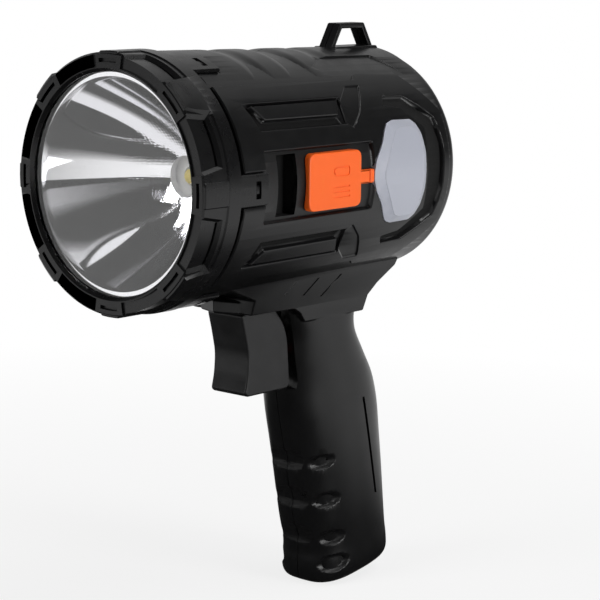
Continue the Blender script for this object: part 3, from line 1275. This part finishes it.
mark = sunk_mark(0, *MARK[1], 0.0015)
cut(mark, sunk_mark(MARK_LINE, *MARK[1], 0.0015))
cut(flap, mark, *[sunk_mark(0, z - MARK_LINE / 2, z + MARK_LINE / 2, 0.0002) for z in RIBS])
anchor = rubber_plate(plate_between(tether_end + GAP, tether_end + GAP + ANCHOR_LENGTH, TETHER_HALF), 0.0006)
peg = rod((0.0408, PEG_MIDDLE, 0), (armour_radius(PEG_MIDDLE) + flap_inner + 0.0008, PEG_MIDDLE, 0), 0.0009, 24)
fuse(anchor, peg)
orange_rubber = moulded("orange_rubber", (1.0, 0.135, 0.006), (1.0, 0.16, 0.012), 0.42, 0.5, 3000, 0.00001)
settle(flap, "port_flap", "flap", orange_rubber)
settle(anchor, "flap_anchor", "housing", orange_rubber)
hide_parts("usb_flap")
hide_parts("usb_flap_anchor")


# Side lamp's cover: moulded in milky plastic with a flange behind the window's edge, over a board with its emitters
LAMP_PROUD = 0.0017
LAMP_WALL = 0.0016
LAMP_FLANGE = 0.0014
LAMP_FLANGE_WIDTH = 0.0014
LAMP_EDGE = 0.0003
LAMP_PLATEAU = (
    (0.611, 2.0),
    (0.618, 5.0),
    (0.640, 10.8),
    (0.664, 16.5),
    (0.684, 20.4),
    (0.706, 21.6),
    (0.766, 21.6),
    (0.786, 19.6),
    (0.797, 14.8),
    (0.803, 8.0),
)
cover_back = -bore_depth - GAP - LAMP_FLANGE
cover_outline = rounded(lamp_outline, 0.0008)
plateau = rounded(on_barrel(mirrored(list(LAMP_PLATEAU))), 0.0008)
levels = [(0, cover_back), (0, GAP), (plateau, LAMP_PROUD - LAMP_EDGE), (grown(plateau, -LAMP_EDGE), LAMP_PROUD)]
cover = relief(cover_outline, levels)
flange = relief(grown(lamp_outline, LAMP_FLANGE_WIDTH), [(0, cover_back), (0, cover_back + LAMP_FLANGE)])
hollow = relief(grown(lamp_outline, -LAMP_WALL), [(0, cover_back - OVER), (0, LAMP_PROUD - LAMP_WALL)])
cut(fuse(cover, flange), hollow)
lamp_diffuser = moulded(
    "lamp_diffuser", (0.56, 0.58, 0.66), (0.60, 0.62, 0.69), 0.30, 0.38, 1800, 0.00001, Transmission_Weight=0.25
)
settle(cover, "lamp_cover", "housing", lamp_diffuser)
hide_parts("lamp_lens")


# Trigger: moulded in black ABS with a hollow for its spring, and a pin through its hub
TRIGGER_FRONT = 0.0485
TRIGGER_LENGTH = 0.0350
TRIGGER_HEIGHT = 0.0320
TRIGGER_BOTTOM = NECK_BOTTOM - GAP - TRIGGER_HEIGHT
PIVOT = (0.0645, -0.0465)
PIN_RADIUS = 0.0015
TRIGGER = (
    (0.27, 0.985),
    (0.335, 0.72),
    (0.385, 0.47),
    (0.37, 0.22),
    (0.33, 0.04),
    (0.37, 0.00),
    (1.01, 0.00),
    (1.05, 0.06),
    (1.03, 0.35),
    (1.01, 0.62),
    (0.94, 0.82),
    (0.80, 0.99),
    (0.72, 1.18),
    (0.62, 1.27),
    (0.40, 1.27),
    (0.34, 1.16),
    (0.34, 1.00),
)
trigger_outline = [(TRIGGER_FRONT + a * TRIGGER_LENGTH, TRIGGER_BOTTOM + b * TRIGGER_HEIGHT) for a, b in TRIGGER]
trigger = slab(rounded(trigger_outline, 0.0030, 6), -TRIGGER_WIDTH / 2, TRIGGER_WIDTH / 2)
softened(trigger, 0.0008, 3)
spring_z = TRIGGER_BOTTOM + 0.72 * TRIGGER_HEIGHT
SPRING_POCKET = 0.0040
cut(
    trigger,
    rod((0, TRIGGER_FRONT + TRIGGER_LENGTH - 0.0060, spring_z), (0, TRIGGER_SLOT[1], spring_z), SPRING_POCKET, 32),
    rod((-TRIGGER_WIDTH, *PIVOT), (TRIGGER_WIDTH, *PIVOT), PIN_RADIUS + 0.0002, 32),
)
trigger_abs = moulded(
    "trigger_abs", (0.008, 0.008, 0.0085), (0.012, 0.012, 0.012), 0.32, 0.42, 2200, 0.000015, Specular_IOR_Level=0.35
)
settle(trigger, "trigger_lever", "trigger", trigger_abs)
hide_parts("trigger")


# What the shells hold, each with its own finish: moulded plastics, boards, leads and the cell's wrap
def dress(finish, *names):
    for name in names:
        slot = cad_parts[name].material_slots[0]
        slot.link = "OBJECT"
        slot.material = finish


dress(moulded("white_nylon", (0.80, 0.80, 0.79), (0.86, 0.86, 0.85), 0.4, 0.5, 2000, 0.00001), "led_spacer")
dress(moulded("phosphor", (0.90, 0.72, 0.16), (0.95, 0.80, 0.30), 0.3, 0.4, 4000, 0.000005), "led_emitter", "lamp_cob")
board_white = moulded("metal_core_board", (0.78, 0.78, 0.77), (0.70, 0.70, 0.69), 0.3, 0.4, 3000, 0.000005)
dress(board_white, "led_board", "lamp_board")
dress(moulded("circuit_board", (0.015, 0.11, 0.045), (0.02, 0.17, 0.07), 0.25, 0.4, 900, 0.00001), "main_board")
dress(moulded("switch_plastic", (0.02, 0.02, 0.02), (0.03, 0.03, 0.03), 0.4, 0.5, 2500, 0.00001), "switch_body")
dress(moulded("plunger_plastic", (0.40, 0.02, 0.02), (0.45, 0.04, 0.04), 0.4, 0.5, 2500, 0.00001), "switch_plunger")
dress(moulded("cell_wrap", (0.02, 0.10, 0.35), (0.03, 0.13, 0.40), 0.25, 0.35, 600, 0.00002), "battery_cell")
dress(moulded("lead_red", (0.50, 0.01, 0.01), (0.55, 0.03, 0.03), 0.4, 0.5, 1500, 0.00001), "battery_lead_plus", "beam_lead", "lamp_lead")
dress(moulded("lead_black", (0.01, 0.01, 0.01), (0.02, 0.02, 0.02), 0.4, 0.5, 1500, 0.00001), "battery_lead_minus", "switch_lead")


# Metal parts: cast aluminium, plated steel and spring wire
def metal(name, colour, gloss_low, gloss_high, scale, depth):
    made, out = plain_nodes(name)
    tree = made.node_tree
    shader = tree.nodes.new("ShaderNodeBsdfPrincipled")
    shader.inputs["Base Color"].default_value = (*colour, 1)
    shader.inputs["Metallic"].default_value = 1.0
    place = tree.nodes.new("ShaderNodeTexCoord")
    marks = tree.nodes.new("ShaderNodeTexNoise")
    marks.inputs["Scale"].default_value = scale
    marks.inputs["Detail"].default_value = 5
    span = tree.nodes.new("ShaderNodeMapRange")
    span.inputs["To Min"].default_value = gloss_low
    span.inputs["To Max"].default_value = gloss_high
    bump = tree.nodes.new("ShaderNodeBump")
    bump.inputs["Distance"].default_value = depth
    tree.links.new(place.outputs["Object"], marks.inputs["Vector"])
    tree.links.new(marks.outputs["Fac"], span.inputs["Value"])
    tree.links.new(marks.outputs["Fac"], bump.inputs["Height"])
    tree.links.new(span.outputs[0], shader.inputs["Roughness"])
    tree.links.new(bump.outputs["Normal"], shader.inputs["Normal"])
    tree.links.new(shader.outputs[0], out.inputs["Surface"])
    return made


plated = metal("plated_steel", (0.55, 0.55, 0.56), 0.2, 0.35, 900, 0.000004)
screw_names = [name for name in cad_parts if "_screw_" in name]
dress(plated, *screw_names, "trigger_pin", "usb_socket", "battery_contact_top", "battery_contact_bottom")
dress(metal("aluminium", (0.60, 0.60, 0.62), 0.3, 0.45, 500, 0.00002), "heat_sink")
dress(metal("spring_steel", (0.50, 0.50, 0.50), 0.2, 0.3, 1200, 0.000003), "trigger_spring")

bpy.context.view_layer.update()
